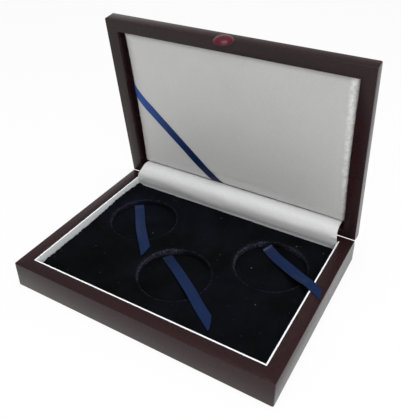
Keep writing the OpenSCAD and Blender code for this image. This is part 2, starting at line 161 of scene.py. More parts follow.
class Paint:
    """A material while it is being built, around one Principled shader."""

    def __init__(self, name: str) -> None:
        """Starts an empty material.

        Args:
            name: The material's name.
        """
        self.material = bpy.data.materials.new(name)
        self.material.use_nodes = True
        self.tree = self.material.node_tree
        self.shader = self.tree.nodes["Principled BSDF"]

    def node(self, kind: str, settings: dict | None = None, **sockets: "Sock | float | tuple") -> "Sock":
        """Adds any node.

        Args:
            kind: The node's type without the ShaderNode prefix.
            settings: Its properties, set before its sockets. A list of stops goes to a ramp.
            **sockets: Value or link for each input, by its name with _ for a space.

        Returns:
            The node's first output. Its other outputs are reached through its node.
        """
        made = self.tree.nodes.new("ShaderNode" + kind)
        for key, value in (settings or {}).items():
            if key == "stops":
                self.fill_ramp(made.color_ramp, value)
            else:
                setattr(made, key, value)
        for key, value in sockets.items():
            self.feed(made.inputs[key.replace("_", " ")], value)
        return Sock(self.tree, made.outputs[0])

    def feed(self, slot: bpy.types.NodeSocket, value: "Sock | float | tuple") -> None:
        """Links or sets an input socket.

        Args:
            slot: The input socket.
            value: A link, a number, or a colour or vector.
        """
        if isinstance(value, Sock):
            self.tree.links.new(value.socket, slot)
        elif isinstance(value, tuple) and slot.type == "RGBA":
            slot.default_value = (*value, 1.0)
        else:
            slot.default_value = value

    @staticmethod
    def fill_ramp(ramp: bpy.types.ColorRamp, stops: Sequence[tuple[float, Colour]]) -> None:
        """Sets the stops of a colour ramp.

        Args:
            ramp: The ramp.
            stops: Place and colour of each stop.
        """
        while len(ramp.elements) < len(stops):
            ramp.elements.new(0.5)
        for element, (place, colour) in zip(ramp.elements, stops):
            element.position = place
            element.color = (*colour, 1.0)

    def place(self, scale: Point = (1, 1, 1), turn: Point = (0, 0, 0), uv: bool = False) -> "Sock":
        """Coordinates of the piece, turned and scaled.

        Args:
            scale: Scale along each axis of the pattern.
            turn: Turn of the pattern in degrees.
            uv: Whether they follow the piece's own UV map.

        Returns:
            The coordinates.
        """
        where = self.tree.nodes.new("ShaderNodeTexCoord")
        origin = Sock(self.tree, where.outputs["UV" if uv else "Object"])
        turned = tuple(math.radians(a) for a in turn)
        return self.node("Mapping", Vector=origin, Rotation=turned, Scale=scale)

    def noise(self, at: "Sock", scale: float = 1.0, detail: float = 3.0, rough: float = 0.5) -> "Sock":
        """Noise from 0 to 1 round 0.5.

        Args:
            at: Coordinates.
            scale: Frequency.
            detail: Number of octaves.
            rough: Weight of the finer octaves.

        Returns:
            The noise value.
        """
        return self.node("TexNoise", Vector=at, Scale=scale, Detail=detail, Roughness=rough)

    def mix(self, mask: "Sock | float", a: "Sock | Colour", b: "Sock | Colour") -> "Sock":
        """Mixes two colours.

        Args:
            mask: 0 for the first colour, 1 for the second.
            a: First colour.
            b: Second colour.

        Returns:
            The mixed colour.
        """
        made = self.tree.nodes.new("ShaderNodeMix")
        made.data_type = "RGBA"
        for slot, value in zip((made.inputs[0], made.inputs[6], made.inputs[7]), (mask, a, b)):
            self.feed(slot, value)
        return Sock(self.tree, made.outputs[2])

    def bump(self, height: "Sock", depth: float, strength: float = 1.0) -> None:
        """Feeds the shader's normal from a height.

        Args:
            height: Height from 0 to 1.
            depth: Real height of a step from 0 to 1, in metres.
            strength: Strength of the effect.
        """
        made = self.node("Bump", Height=height, Distance=depth, Strength=strength)
        self.feed(self.shader.inputs["Normal"], made)

    def set(self, **sockets: "Sock | float | tuple") -> None:
        """Sets or links the shader's own sockets.

        Args:
            **sockets: Value or link for each input, by its name with _ for a space.
        """
        for key, value in sockets.items():
            self.feed(self.shader.inputs[key.replace("_", " ")], value)


class Grain(Enum):
    """Turn, in degrees, that lays the grain along each kind of board."""

    ALONG_X = (0.0, 0.0, 0.0)
    ALONG_Y = (0.0, 0.0, 90.0)
    UP_THE_LID = (0.0, 90.0, 0.0)


@dataclass(frozen=True)
class LacqueredWood:
    """Dark red-brown lacquer over fine-grained wood."""

    name: str
    grain: Grain
    dark: Colour = (0.0120, 0.0095, 0.0098)
    warm: Colour = (0.032, 0.0090, 0.0110)

    def material(self) -> bpy.types.Material:
        """Returns the material."""
        paint = Paint(self.name)
        at = paint.place(turn=self.grain.value)
        figure = paint.noise(paint.node("Mapping", Vector=at, Scale=(6.0, 55.0, 55.0)), 1.0, 4.0, 0.55)
        fibre = paint.noise(paint.node("Mapping", Vector=at, Scale=(38.0, 1500.0, 1500.0)), 1.0, 3.0, 0.6)
        pores = paint.noise(paint.node("Mapping", Vector=at, Scale=(230.0, 4200.0, 4200.0)), 1.0, 1.0)
        tone = figure.step(0.3, 0.72) * 0.6 + fibre.step(0.32, 0.7) * 0.4
        pore = pores.step(0.62, 0.72)
        warm = paint.mix(tone, self.dark, self.warm)
        rough = paint.noise(at, 160.0, 2.0)
        paint.set(
            Base_Color=paint.mix(pore * 0.55, warm, (0.006, 0.003, 0.003)),
            Roughness=rough * 0.08 + 0.24,
            Specular_IOR_Level=0.19,
            Coat_Weight=0.07,
            Coat_Roughness=0.2,
            Coat_IOR=1.5,
        )
        paint.bump(1 - pore * 0.7 + fibre * 0.25, 0.03 * MM, 0.6)
        return paint.material


@dataclass(frozen=True)
class Velvet:
    """Near-black navy velvet with a mottled pile, a painted highlight on its frayed cut edges and a painted bluish
    sheen near one corner.
    """

    name: str = "velvet"
    deep: Colour = (0.0018, 0.0021, 0.0022)
    brushed: Colour = (0.0042, 0.0047, 0.0056)
    # Colour of the painted bluish sheen
    blue_sheen: Colour = (0.0044, 0.0064, 0.0140)
    frayed_pile_highlight: Colour = (0.058, 0.054, 0.088)
    lint_colour: Colour = (0.075, 0.075, 0.085)
    specks: tuple[tuple[float, float], ...] = ((19 * MM, 0.50 * MM), (8.5 * MM, 0.22 * MM))

    @staticmethod
    def lint(paint: Paint, at: Sock, cell: float, size: float) -> Sock:
        """Scattered specks of lint, one in each cell of the plan at most.

        Args:
            paint: The material that is made.
            at: Coordinates.
            cell: Width of a cell.
            size: Radius of the largest speck.

        Returns:
            A mask, 1 on the specks.
        """
        settings = {"voronoi_dimensions": "2D"}
        near = paint.node("TexVoronoi", settings, Vector=at, Scale=1 / cell)
        share = paint.node("SeparateColor", Color=near.output("Color"))
        return ((share * 2 - 1) * (size / cell) - near).step(0.0, 0.1 * size / cell)

    def material(self) -> bpy.types.Material:
        """Returns the material."""
        paint = Paint(self.name)
        at = paint.place()
        patches = paint.noise(at, 55.0, 4.0, 0.6)
        pile = paint.noise(at, 2600.0, 2.0, 0.7)
        mottle = patches.step(0.38, 0.68) * 0.75 + pile.step(0.35, 0.75) * 0.35
        cloth = paint.mix(mottle, self.deep, self.brushed)
        where = paint.node("SeparateXYZ", Vector=at)
        # Painted bluish sheen in patches, strongest near the back-left corner of the pad
        corner = where.step(0.010, -0.075) * where.output("Y").step(-0.005, 0.045)
        nap = paint.noise(at, 30.0, 4.0, 0.65).step(0.42, 0.66) * (corner * 0.85 + 0.15)
        cloth = paint.mix(nap, cloth, self.blue_sheen)
        tufts = paint.noise(at, 1000.0, 2.0, 0.6).step(0.45, 0.66)
        # Painted highlight on the frayed pile of recess walls and lips that face the light, broken up by real tufts
        frayed_and_lit = paint.node("Attribute", {"attribute_name": "fray"}).output("Fac")
        cloth = paint.mix(frayed_and_lit * (tufts * 0.85 + 0.15), cloth, self.frayed_pile_highlight)
        for cell, size in self.specks:
            lint = self.lint(paint, at, cell, size)
            cloth = paint.mix(lint, cloth, self.lint_colour)
        paint.set(
            Base_Color=cloth,
            Roughness=0.95,
            Specular_IOR_Level=0.02,
            Sheen_Weight=0.012,
            Sheen_Roughness=0.35,
            Sheen_Tint=(0.5, 0.56, 0.85),
        )
        paint.bump(pile * 0.6 + patches * 0.4, 0.25 * MM, 0.7)
        return paint.material


@dataclass(frozen=True)
class Satin:
    """Silvery white satin with a fine weave, and a painted highlight where it is marked as gathered."""

    name: str
    colour: Colour = (0.72, 0.72, 0.715)
    # Colour of the painted highlight on gathered satin
    gathered_highlight: Colour = (0.97, 0.97, 0.965)

    def material(self) -> bpy.types.Material:
        """Returns the material."""
        paint = Paint(self.name)
        at = paint.place()
        threads = paint.noise(paint.node("Mapping", Vector=at, Scale=(700.0, 2600.0, 2600.0)), 1.0, 2.0, 0.6)
        cross = paint.noise(paint.node("Mapping", Vector=at, Scale=(2600.0, 420.0, 420.0)), 1.0, 2.0, 0.6)
        cloud = paint.noise(at, 30.0, 3.0, 0.5)
        shade = threads * 0.5 + cross * 0.3 + cloud * 0.2
        low = tuple(c * 0.94 for c in self.colour)
        high = tuple(min(1.0, c * 1.04) for c in self.colour)
        # Painted highlight on the gathered satin at the pad's right edge, broken up by its crests
        gather = paint.node("Attribute", {"attribute_name": "gather"}).output("Fac")
        crests = paint.noise(at, 420.0, 3.0, 0.6).step(0.36, 0.6)
        cloth = paint.mix(shade.step(0.38, 0.62), low, high)
        paint.set(
            Base_Color=paint.mix(gather * (crests * 0.7 + 0.3), cloth, self.gathered_highlight),
            Roughness=threads * 0.2 + 0.36,
            Specular_IOR_Level=0.45,
            Sheen_Weight=0.1,
            Sheen_Roughness=0.3,
        )
        paint.bump(threads * 0.6 + cross * 0.4, 0.035 * MM, 0.5)
        return paint.material


@dataclass(frozen=True)
class NavyRibbon:
    """Dark blue satin ribbon: fine ribs across, a woven edge along each side, and painted light and shade over its
    first stretch.
    """

    name: str
    length: float
    width: float
    colour: Colour = (0.0010, 0.0086, 0.0390)
    # Colour painted over the ribbon's first start_length: painted shade and light at a lift ribbon's recess end,
    # painted sheen on the corner ribbon
    start_painted_light: Colour = (0.0010, 0.0086, 0.0390)
    start_length: float = 24 * MM
    fade: float = 1.0
    gloss: float = 0.2

    def material(self) -> bpy.types.Material:
        """Returns the material."""
        paint = Paint(self.name)
        at = paint.place(scale=(self.width, self.length, 1.0), uv=True)
        across = paint.node("SeparateXYZ", Vector=at)
        along = Sock(paint.tree, across.socket.node.outputs["Y"])
        ribs = (along * (math.tau / (0.22 * MM))).math("SINE") * 0.5 + 0.5
        edge = (across - self.width / 2).math("ABSOLUTE").step(self.width / 2 - 0.55 * MM, self.width / 2)
        streaks = paint.noise(paint.node("Mapping", Vector=at, Scale=(2600.0, 60.0, 1.0)), 1.0, 2.0, 0.6)
        lit = tuple(c * 1.9 for c in self.colour)
        shade = paint.mix(streaks.step(0.3, 0.75), self.colour, lit)
        # Painted light and shade at the ribbon's start, fading out along it
        start = (1 - along.step(0.0, self.start_length)) ** self.fade
        shade = paint.mix(start, shade, self.start_painted_light)
        paint.set(
            Base_Color=paint.mix(edge * 0.5, shade, tuple(c * 0.6 for c in self.colour)),
            Roughness=0.5 - streaks * 0.18,
            Specular_IOR_Level=self.gloss,
            Sheen_Weight=0.02,
            Sheen_Roughness=0.3,
            Sheen_Tint=(0.55, 0.65, 1.0),
        )
        paint.bump(ribs * 0.4 + edge * 0.8 + streaks * 0.3, 0.03 * MM, 0.6)
        return paint.material


@dataclass(frozen=True)
class PlainFinish:
    """A plain finish with a fine fleck: lacquered knob, brass, card, fibreboard, foam or felt."""

    name: str
    base: Colour
    fleck: Colour
    roughness: float
    fleck_per_m: float = 900.0
    metallic: float = 0.0
    gloss: float = 0.5
    bump_mm: float = 0.02

    def material(self) -> bpy.types.Material:
        """Returns the material."""
        paint = Paint(self.name)
        at = paint.place()
        fleck = paint.noise(at, self.fleck_per_m, 3.0, 0.6)
        wear = paint.noise(at, self.fleck_per_m / 9, 2.0, 0.5)
        paint.set(
            Base_Color=paint.mix(fleck.step(0.35, 0.7), self.base, self.fleck),
            Roughness=wear * 0.12 + (self.roughness - 0.06),
            Metallic=self.metallic,
            Specular_IOR_Level=self.gloss,
        )
        paint.bump(fleck, self.bump_mm * MM, 0.4)
        return paint.material


# The modelling bench


def free_hands() -> None:
    """Leaves edit mode and deselects everything."""
    if bpy.context.object and bpy.context.object.mode != "OBJECT":
        bpy.ops.object.mode_set(mode="OBJECT")
    bpy.ops.object.select_all(action="DESELECT")


def take(obj: bpy.types.Object) -> None:
    """Makes one object the only selected and active one.

    Args:
        obj: The object.
    """
    free_hands()
    obj.select_set(True)
    bpy.context.view_layer.objects.active = obj


@contextmanager
def editing(obj: bpy.types.Object, mode: str = "FACE") -> Iterator[bmesh.types.BMesh]:
    """Opens an object in edit mode with nothing selected.

    Args:
        obj: The object.
        mode: Selection mode: VERT, EDGE or FACE.

    Yields:
        The mesh being edited.
    """
    take(obj)
    bpy.ops.object.mode_set(mode="EDIT")
    bpy.ops.mesh.select_mode(type=mode)
    bpy.ops.mesh.select_all(action="DESELECT")
    yield bmesh.from_edit_mesh(obj.data)
    bpy.ops.object.mode_set(mode="OBJECT")


def pick(mesh: bmesh.types.BMesh, parts: str, test: Callable[[object], bool], obj: bpy.types.Object) -> int:
    """Selects parts of the mesh being edited by a test.

    Args:
        mesh: The mesh being edited.
        parts: verts, edges or faces.
        test: Says whether a part is wanted.
        obj: The object being edited.

    Returns:
        How many parts were selected.
    """
    found = 0
    for part in getattr(mesh, parts):
        wanted = bool(test(part))
        part.select_set(wanted)
        found += wanted
    bmesh.update_edit_mesh(obj.data)
    return found


def runs_along(edge: bmesh.types.BMEdge, axis: int) -> bool:
    """Whether a long edge runs along an axis.

    Args:
        edge: The edge.
        axis: 0 for x, 1 for y.

    Returns:
        True if it does.
    """
    a, b = (v.co for v in edge.verts)
    return abs(a[axis] - b[axis]) > 20 * MM


def block(name: str, low: Vector, high: Vector) -> bpy.types.Object:
    """Adds a cube at its size and place.

    Args:
        name: The new piece's name.
        low: Its lowest corner.
        high: Its highest corner.

    Returns:
        The new object.
    """
    free_hands()
    bpy.ops.mesh.primitive_cube_add(size=1, location=(Vector(low) + Vector(high)) / 2)
    obj = bpy.context.object
    obj.name = name
    obj.scale = Vector(high) - Vector(low)
    bpy.ops.object.transform_apply(location=True, rotation=True, scale=True)
    return obj


def apply_modifier(obj: bpy.types.Object, kind: str, **settings: object) -> None:
    """Adds a modifier and applies it.

    Args:
        obj: The object.
        kind: The modifier's type.
        **settings: Its settings.
    """
    take(obj)
    modifier = obj.modifiers.new(kind.lower(), kind)
    for key, value in settings.items():
        setattr(modifier, key, value)
    bpy.ops.object.modifier_apply(modifier=modifier.name)


def carve(obj: bpy.types.Object, cutter: bpy.types.Object, operation: str = "DIFFERENCE") -> None:
    """Cuts one object with another and removes the cutter.

    Args:
        obj: The object that is cut.
        cutter: The cutter.
        operation: The boolean operation.
    """
    apply_modifier(obj, "BOOLEAN", operation=operation, solver="EXACT", object=cutter)
    bpy.data.objects.remove(cutter)


def soften(obj: bpy.types.Object, width: float, segments: int = 3, angle: float = 35.0) -> None:
    """Rounds the sharp edges of an object.

    Args:
        obj: The object.
        width: Width of the rounding.
        segments: Its segments.
        angle: Edges sharper than this many degrees are rounded.
    """
    apply_modifier(
        obj, "BEVEL", width=width, segments=segments, limit_method="ANGLE",
        angle_limit=math.radians(angle), use_clamp_overlap=True,
    )


def shave(obj: bpy.types.Object, point: Vector, outward: Vector) -> None:
    """Cuts off what lies beyond a plane and closes the cut.

    Args:
        obj: The object.
        point: A point on the plane.
        outward: The plane's normal, towards what is cut off.
    """
    with editing(obj):
        bpy.ops.mesh.select_all(action="SELECT")
        bpy.ops.mesh.bisect(plane_co=point, plane_no=outward, use_fill=True, clear_outer=True)


def copy_of(obj: bpy.types.Object, name: str) -> bpy.types.Object:
    """Copies an object with its own mesh.

    Args:
        obj: The object.
        name: The copy's name.

    Returns:
        The copy.
    """
    made = obj.copy()
    made.data = obj.data.copy()
    made.name = name
    bpy.context.scene.collection.objects.link(made)
    return made


def wear(obj: bpy.types.Object, material: bpy.types.Material, angle: float = 30.0) -> None:
    """Gives an object one material and smooth shading.

    Args:
        obj: The object.
        material: The material.
        angle: Edges sharper than this many degrees stay sharp.
    """
    obj.data.materials.clear()
    obj.data.materials.append(material)
    take(obj)
    bpy.ops.object.shade_smooth_by_angle(angle=math.radians(angle))


def settle(
    obj: bpy.types.Object, body: str, stands_for: Sequence[str] = ()
) -> bpy.types.Object:
    """Puts a finished piece on its body and in place of its solids.

    Args:
        obj: The piece.
        body: The body that it rides on.
        stands_for: The CAD nodes that it replaces.

    Returns:
        The piece.
    """
    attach(obj, body)
    if stands_for:
        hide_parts(*stands_for)
    log.info("%s: %d faces on %s", obj.name, len(obj.data.polygons), body)
    return obj


def sculpt(obj: bpy.types.Object, move: Callable[[Vector], Vector]) -> None:
    """Moves every vertex of an object by a rule.

    Args:
        obj: The object.
        move: Gives a vertex's new place from its old one.
    """
    for vertex in obj.data.vertices:
        vertex.co = move(vertex.co)
    obj.data.update()


def outward(obj: bpy.types.Object) -> None:
    """Recalculates the normals so that they point outwards.

    Args:
        obj: The object.
    """
    with editing(obj):
        bpy.ops.mesh.select_all(action="SELECT")
        bpy.ops.mesh.normals_make_consistent(inside=False)


# Places and sizes from the frame


@dataclass
class Layout:
    """Where the case's main surfaces are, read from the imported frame."""

    low: Vector = field(default_factory=lambda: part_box("base_front_rail")[0])
    rim_z: float = field(default_factory=lambda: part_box("base_front_rail")[1].z)
    rail: float = field(default_factory=lambda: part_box("base_front_rail")[1].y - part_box("base_front_rail")[0].y)
    hinge: Vector = field(default_factory=lambda: Vector(frame["joints"][0]["pos_m"]))
    lid_angle: float = field(default_factory=lambda: math.radians(frame["joints"][0]["range_deg"][1]))

    @property
    def half_x(self) -> float:
        """Half the outside width."""
        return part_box("base_right_rail")[1].x

    @property
    def half_y(self) -> float:
        """Half the outside depth."""
        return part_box("base_rear_rail")[1].y

    @property
    def opened(self) -> Matrix:
        """Takes what is modelled closed, with the hinge line at the origin, to the displayed angle."""
        return Matrix.Translation(self.hinge) @ Matrix.Rotation(-self.lid_angle, 4, "X")

    def closed_box(self, *nodes: str) -> tuple[Vector, Vector]:
        """Box of some of the lid's nodes in the closed drawing.

        Args:
            *nodes: Names of CAD nodes.

        Returns:
            Lowest and highest corner, with the hinge line at the origin.
        """
        back = self.opened.inverted()
        points = [back @ v.co for n in nodes for v in frame["nodes"][n].data.vertices]
        low = Vector(min(p[i] for p in points) for i in range(3))
        high = Vector(max(p[i] for p in points) for i in range(3))
        return low, high


# Wooden frames


@dataclass
class RailFrame:
    """Four mitred rails of the base or the lid, modelled as one ring and sawn apart."""

    name: str
    body: str
    low: Vector
    high: Vector
    rail: float
    bevel_y: float
    rim_up: bool
    panel_low: Vector
    panel_high: Vector
    place: Matrix
    along_side: Grain
    leaf_boxes: Sequence[tuple[Vector, Vector]]
    bevel_h: float = 7.0 * MM
    corner: float = 1.0 * MM
    edge: float = 0.45 * MM
    saw_gap: float = 0.02 * MM
    pocket_room: float = 0.2 * MM

    def ring(self) -> bpy.types.Object:
        """Models the whole ring.

        Returns:
            The ring, before it is sawn.
        """
        ring = block(self.name, self.low, self.high)
        rim = self.high.z if self.rim_up else self.low.z
        up = 1.0 if self.rim_up else -1.0
        slope = Vector((0, self.bevel_h, up * (self.high.y - self.bevel_y)))
        shave(ring, Vector((0, self.bevel_y, rim)), slope.normalized())
        with editing(ring, "EDGE") as mesh:
            pick(mesh, "edges", self.is_corner, ring)
            bpy.ops.mesh.bevel(offset=self.corner, segments=5, affect="EDGES")
        inner_low = Vector((self.low.x + self.rail, self.low.y + self.rail, self.low.z - MM))
        inner_high = Vector((self.high.x - self.rail, self.high.y - self.rail, self.high.z + MM))
        carve(ring, block("opening", inner_low, inner_high))
        past = Vector((0, 0, MM))
        if self.rim_up:
            carve(ring, block("rabbet", self.panel_low - past, self.panel_high))
        else:
            carve(ring, block("rabbet", self.panel_low, self.panel_high + past))
        soften(ring, self.edge)
        self.cut_pockets(ring, rim, up)
        return ring

    @staticmethod
    def is_corner(edge: bmesh.types.BMEdge) -> bool:
        """Whether an edge runs up a corner of the ring.

        Args:
            edge: The edge.

        Returns:
            True for upright edges.
        """
        a, b = (v.co for v in edge.verts)
        return abs(a.x - b.x) < 1e-6 and abs(a.y - b.y) < 1e-6

    def cut_pockets(self, ring: bpy.types.Object, rim: float, up: float) -> None:
        """Cuts the hinges' mortises into the rear rail.

        Args:
            ring: The ring.
            rim: Height of the rim.
            up: Which way the rim faces, 1 or -1.
        """
        gap = 0.05 * MM
        for low, high in self.leaf_boxes:
            knuckle = max(abs(low.z - rim), abs(high.z - rim)) + self.pocket_room
            leaf = 0.8 * MM
            far_y = self.high.y + MM
            for front, depth in ((low.y - gap, leaf), (self.bevel_y - 1.8 * MM, knuckle)):
                ends = sorted((rim - up * depth, rim + up * MM))
                carve(ring, block("pocket", Vector((low.x - gap, front, ends[0])),
                                  Vector((high.x + gap, far_y, ends[1]))))

    def build(self) -> list[bpy.types.Object]:
        """Saws the ring into its four rails and dresses them.

        Returns:
            The four rails.
        """
        ring = self.ring()
        made = []
        sides = {"front": (0, -1), "rear": (0, 1), "left": (-1, 0), "right": (1, 0)}
        for side, (x, y) in sides.items():
            rail = copy_of(ring, f"{self.name}_rail_{side}")
            carve(rail, self.wedge(x, y), "INTERSECT")
            made.append(rail)
            grain = Grain.ALONG_X if x == 0 else self.along_side
            wear(rail, wood(grain))
            rail.data.transform(self.place)
            settle(rail, self.body, [f"{self.body_word}_{side}_rail"])
        bpy.data.objects.remove(ring)
        return made

    def wedge(self, x: int, y: int) -> bpy.types.Object:
        """Models the room of one rail between its two mitres.

        Args:
            x: Side of the case along x, -1, 0 or 1.
            y: Side of the case along y, -1, 0 or 1.

        Returns:
            The wedge.
        """
        room = Vector((5 * MM, 5 * MM, 5 * MM))
        wedge = block("mitre", self.low - room, self.high + room)
        for turn in (-1, 1):
            along = Vector((turn, 0, 0)) if x == 0 else Vector((0, turn, 0))
            cut = (along - Vector((x, y, 0))).normalized()
            shave(wedge, self.corner_of(x, y, turn) - cut * self.saw_gap, cut)
        return wedge

    @property
    def body_word(self) -> str:
        """First word of the CAD nodes' names."""
        return "base" if self.rim_up else "lid"

    def corner_of(self, x: int, y: int, turn: int) -> Vector:
        """Outer corner at one end of a rail.

        Args:
            x: -1 or 1 for a side rail, else 0.
            y: -1 or 1 for a front or rear rail, else 0.
            turn: Which end, -1 or 1.

        Returns:
            The corner.
        """
        at_x = x if x else turn
        at_y = y if y else turn
        return Vector((
            self.high.x if at_x > 0 else self.low.x, self.high.y if at_y > 0 else self.low.y, self.low.z
        ))


_wood: dict[Grain, bpy.types.Material] = {}


def wood(grain: Grain) -> bpy.types.Material:
    """The lacquered wood with its grain one way.

    Args:
        grain: Which way the grain runs.

    Returns:
        The material, made on first use.
    """
    if grain not in _wood:
        _wood[grain] = LacqueredWood(f"lacquered_wood_{grain.name.lower()}", grain).material()
    return _wood[grain]


@dataclass
class Joinery:
    """The wooden base and lid: rails, panels and felt."""

    layout: Layout

    def build(self) -> None:
        """Builds and dresses both frames and their panels."""
        lay = self.layout
        base_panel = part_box("base_panel")
        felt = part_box("base_felt")
        RailFrame(
            "base", "case", Vector((-lay.half_x, -lay.half_y, 0)), Vector((lay.half_x, lay.half_y, lay.rim_z)),
            lay.rail, lay.hinge.y, True, felt[0], base_panel[1], Matrix.Identity(4), Grain.ALONG_Y,
            [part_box("hinge_base_leaf_left"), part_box("hinge_base_leaf_right")],
        ).build()
        low, high = lay.closed_box("lid_front_rail", "lid_rear_rail", "lid_left_rail", "lid_right_rail")
        panel = lay.closed_box("lid_panel")
        RailFrame(
            "lid", "lid", low, high, lay.rail, 0.0, False, panel[0], panel[1], lay.opened,
            Grain.UP_THE_LID, [lay.closed_box("hinge_lid_leaf_left"), lay.closed_box("hinge_lid_leaf_right")],
        ).build()
        self.lid_panel(*panel)
        self.felt(*felt)
        wear_cad("base_panel", PlainFinish("fibreboard", (0.3, 0.2, 0.12), (0.38, 0.27, 0.17), 0.8))

    def lid_panel(self, low: Vector, high: Vector) -> None:
        """Models the board let into the top of the lid.

        Args:
            low: Its lowest corner in the closed drawing.
            high: Its highest corner in the closed drawing.
        """
        gap = Vector((0.03, 0.03, 0)) * MM
        panel = block("lid_top_board", low + gap, high - gap)
        soften(panel, 0.2 * MM)
        wear(panel, wood(Grain.ALONG_X))
        panel.data.transform(self.layout.opened)
        settle(panel, "lid", ["lid_panel"])

    def felt(self, low: Vector, high: Vector) -> None:
        """Models the felt under the base.

        Args:
            low: Its lowest corner.
            high: Its highest corner.
        """
        gap = Vector((0.1, 0.1, 0)) * MM
        felt = block("underside_felt", low + gap, high - gap)
        soften(felt, 0.25 * MM)
        finish = PlainFinish("felt", (0.012, 0.009, 0.010), (0.03, 0.024, 0.026), 0.95, 1400.0, bump_mm=0.15)
        wear(felt, finish.material())
        settle(felt, "case", ["base_felt"])


def wear_cad(node: str, finish: PlainFinish) -> None:
    """Gives a CAD node a finish of its own.

    Args:
        node: The node's name.
        finish: The finish.
    """
    obj = frame["nodes"][node]
    obj.data.materials.clear()
    obj.data.materials.append(finish.material())


# Curves and cloth


def curve_at(points: Sequence[Vector], s: float) -> Vector:
    """A place on the smooth curve through some points.

    Args:
        points: The points.
        s: The place, from 0 at the first point to the number of spans at the last.

    Returns:
        The point there.
    """
    last = len(points) - 1
    i = max(0, min(int(s), last - 1))
    u = s - i
    a, b, c, d = points[max(i - 1, 0)], points[i], points[i + 1], points[min(i + 2, last)]
    return b + 0.5 * u * (c - a + u * (2 * a - 5 * b + 4 * c - d + u * (3 * (b - c) + d - a)))


def bezier(a: Vector, b: Vector, c: Vector, d: Vector, t: float) -> Vector:
    """A point of a cubic curve.

    Args:
        a: Its start.
        b: The first handle.
        c: The second handle.
        d: Its end.
        t: The place, from 0 to 1.

    Returns:
        The point.
    """
    r = 1 - t
    return r**3 * a + 3 * t * r * r * b + 3 * t * t * r * c + t**3 * d


def cloth_grid(name: str, across: int, along: int) -> bpy.types.Object:
    """Adds a flat grid from -0.5 to 0.5 across and along, with its own UV map.

    Args:
        name: The new piece's name.
        across: Squares across.
        along: Squares along.

    Returns:
        The grid.
    """
    free_hands()
    bpy.ops.mesh.primitive_grid_add(x_subdivisions=across, y_subdivisions=along, size=1, location=(0, 0, 0))
    obj = bpy.context.object
    obj.name = name
    return obj


def inflate(obj: bpy.types.Object, pinned: Callable[[Vector], bool], cap: float, pressure: float) -> None:
    """Swells a closed piece by a cloth simulation and keeps each point near its start.

    Args:
        obj: The piece.
        pinned: Says which points are held.
        cap: How far a point may move.
        pressure: Air pressure inside.
    """
    group = obj.vertex_groups.new(name="held")
    group.add([v.index for v in obj.data.vertices if pinned(v.co)], 1.0, "REPLACE")
    start = [v.co.copy() for v in obj.data.vertices]
    take(obj)
    cloth = obj.modifiers.new("cloth", "CLOTH")
    cloth.settings.use_pressure = True
    cloth.settings.uniform_pressure_force = pressure
    cloth.settings.vertex_group_mass = group.name
    cloth.settings.effector_weights.gravity = 0
    cloth.settings.bending_stiffness = 0.3
    cloth.point_cache.frame_start = 1
    cloth.point_cache.frame_end = 20
    for step in range(1, 21):
        bpy.context.scene.frame_set(step)
    bpy.ops.object.modifier_apply(modifier=cloth.name)
    bpy.context.scene.frame_set(1)
    for vertex, home in zip(obj.data.vertices, start):
        move = vertex.co - home
        if move.length > cap:
            vertex.co = home + move * (cap / move.length)
    obj.vertex_groups.clear()


def ripple(at: Vector, scale: float, seed: float = 0.0) -> float:
    """Smooth noise from -1 to 1.

    Args:
        at: The point, in metres.
        scale: Frequency per metre.
        seed: Offset that makes one pattern unlike another.

    Returns:
        The noise value.
    """
    return noise.noise(at * scale + Vector((seed, seed * 0.37, -seed)))


def ramp(value: float, low: float, high: float) -> float:
    """Smooth step from 0 to 1.

    Args:
        value: The value.
        low: Where it starts.
        high: Where it ends.

    Returns:
        The step.
    """
    k = max(0.0, min(1.0, (value - low) / (high - low)))
    return k * k * (3 - 2 * k)


# Base: velvet insert, linings and ribbons


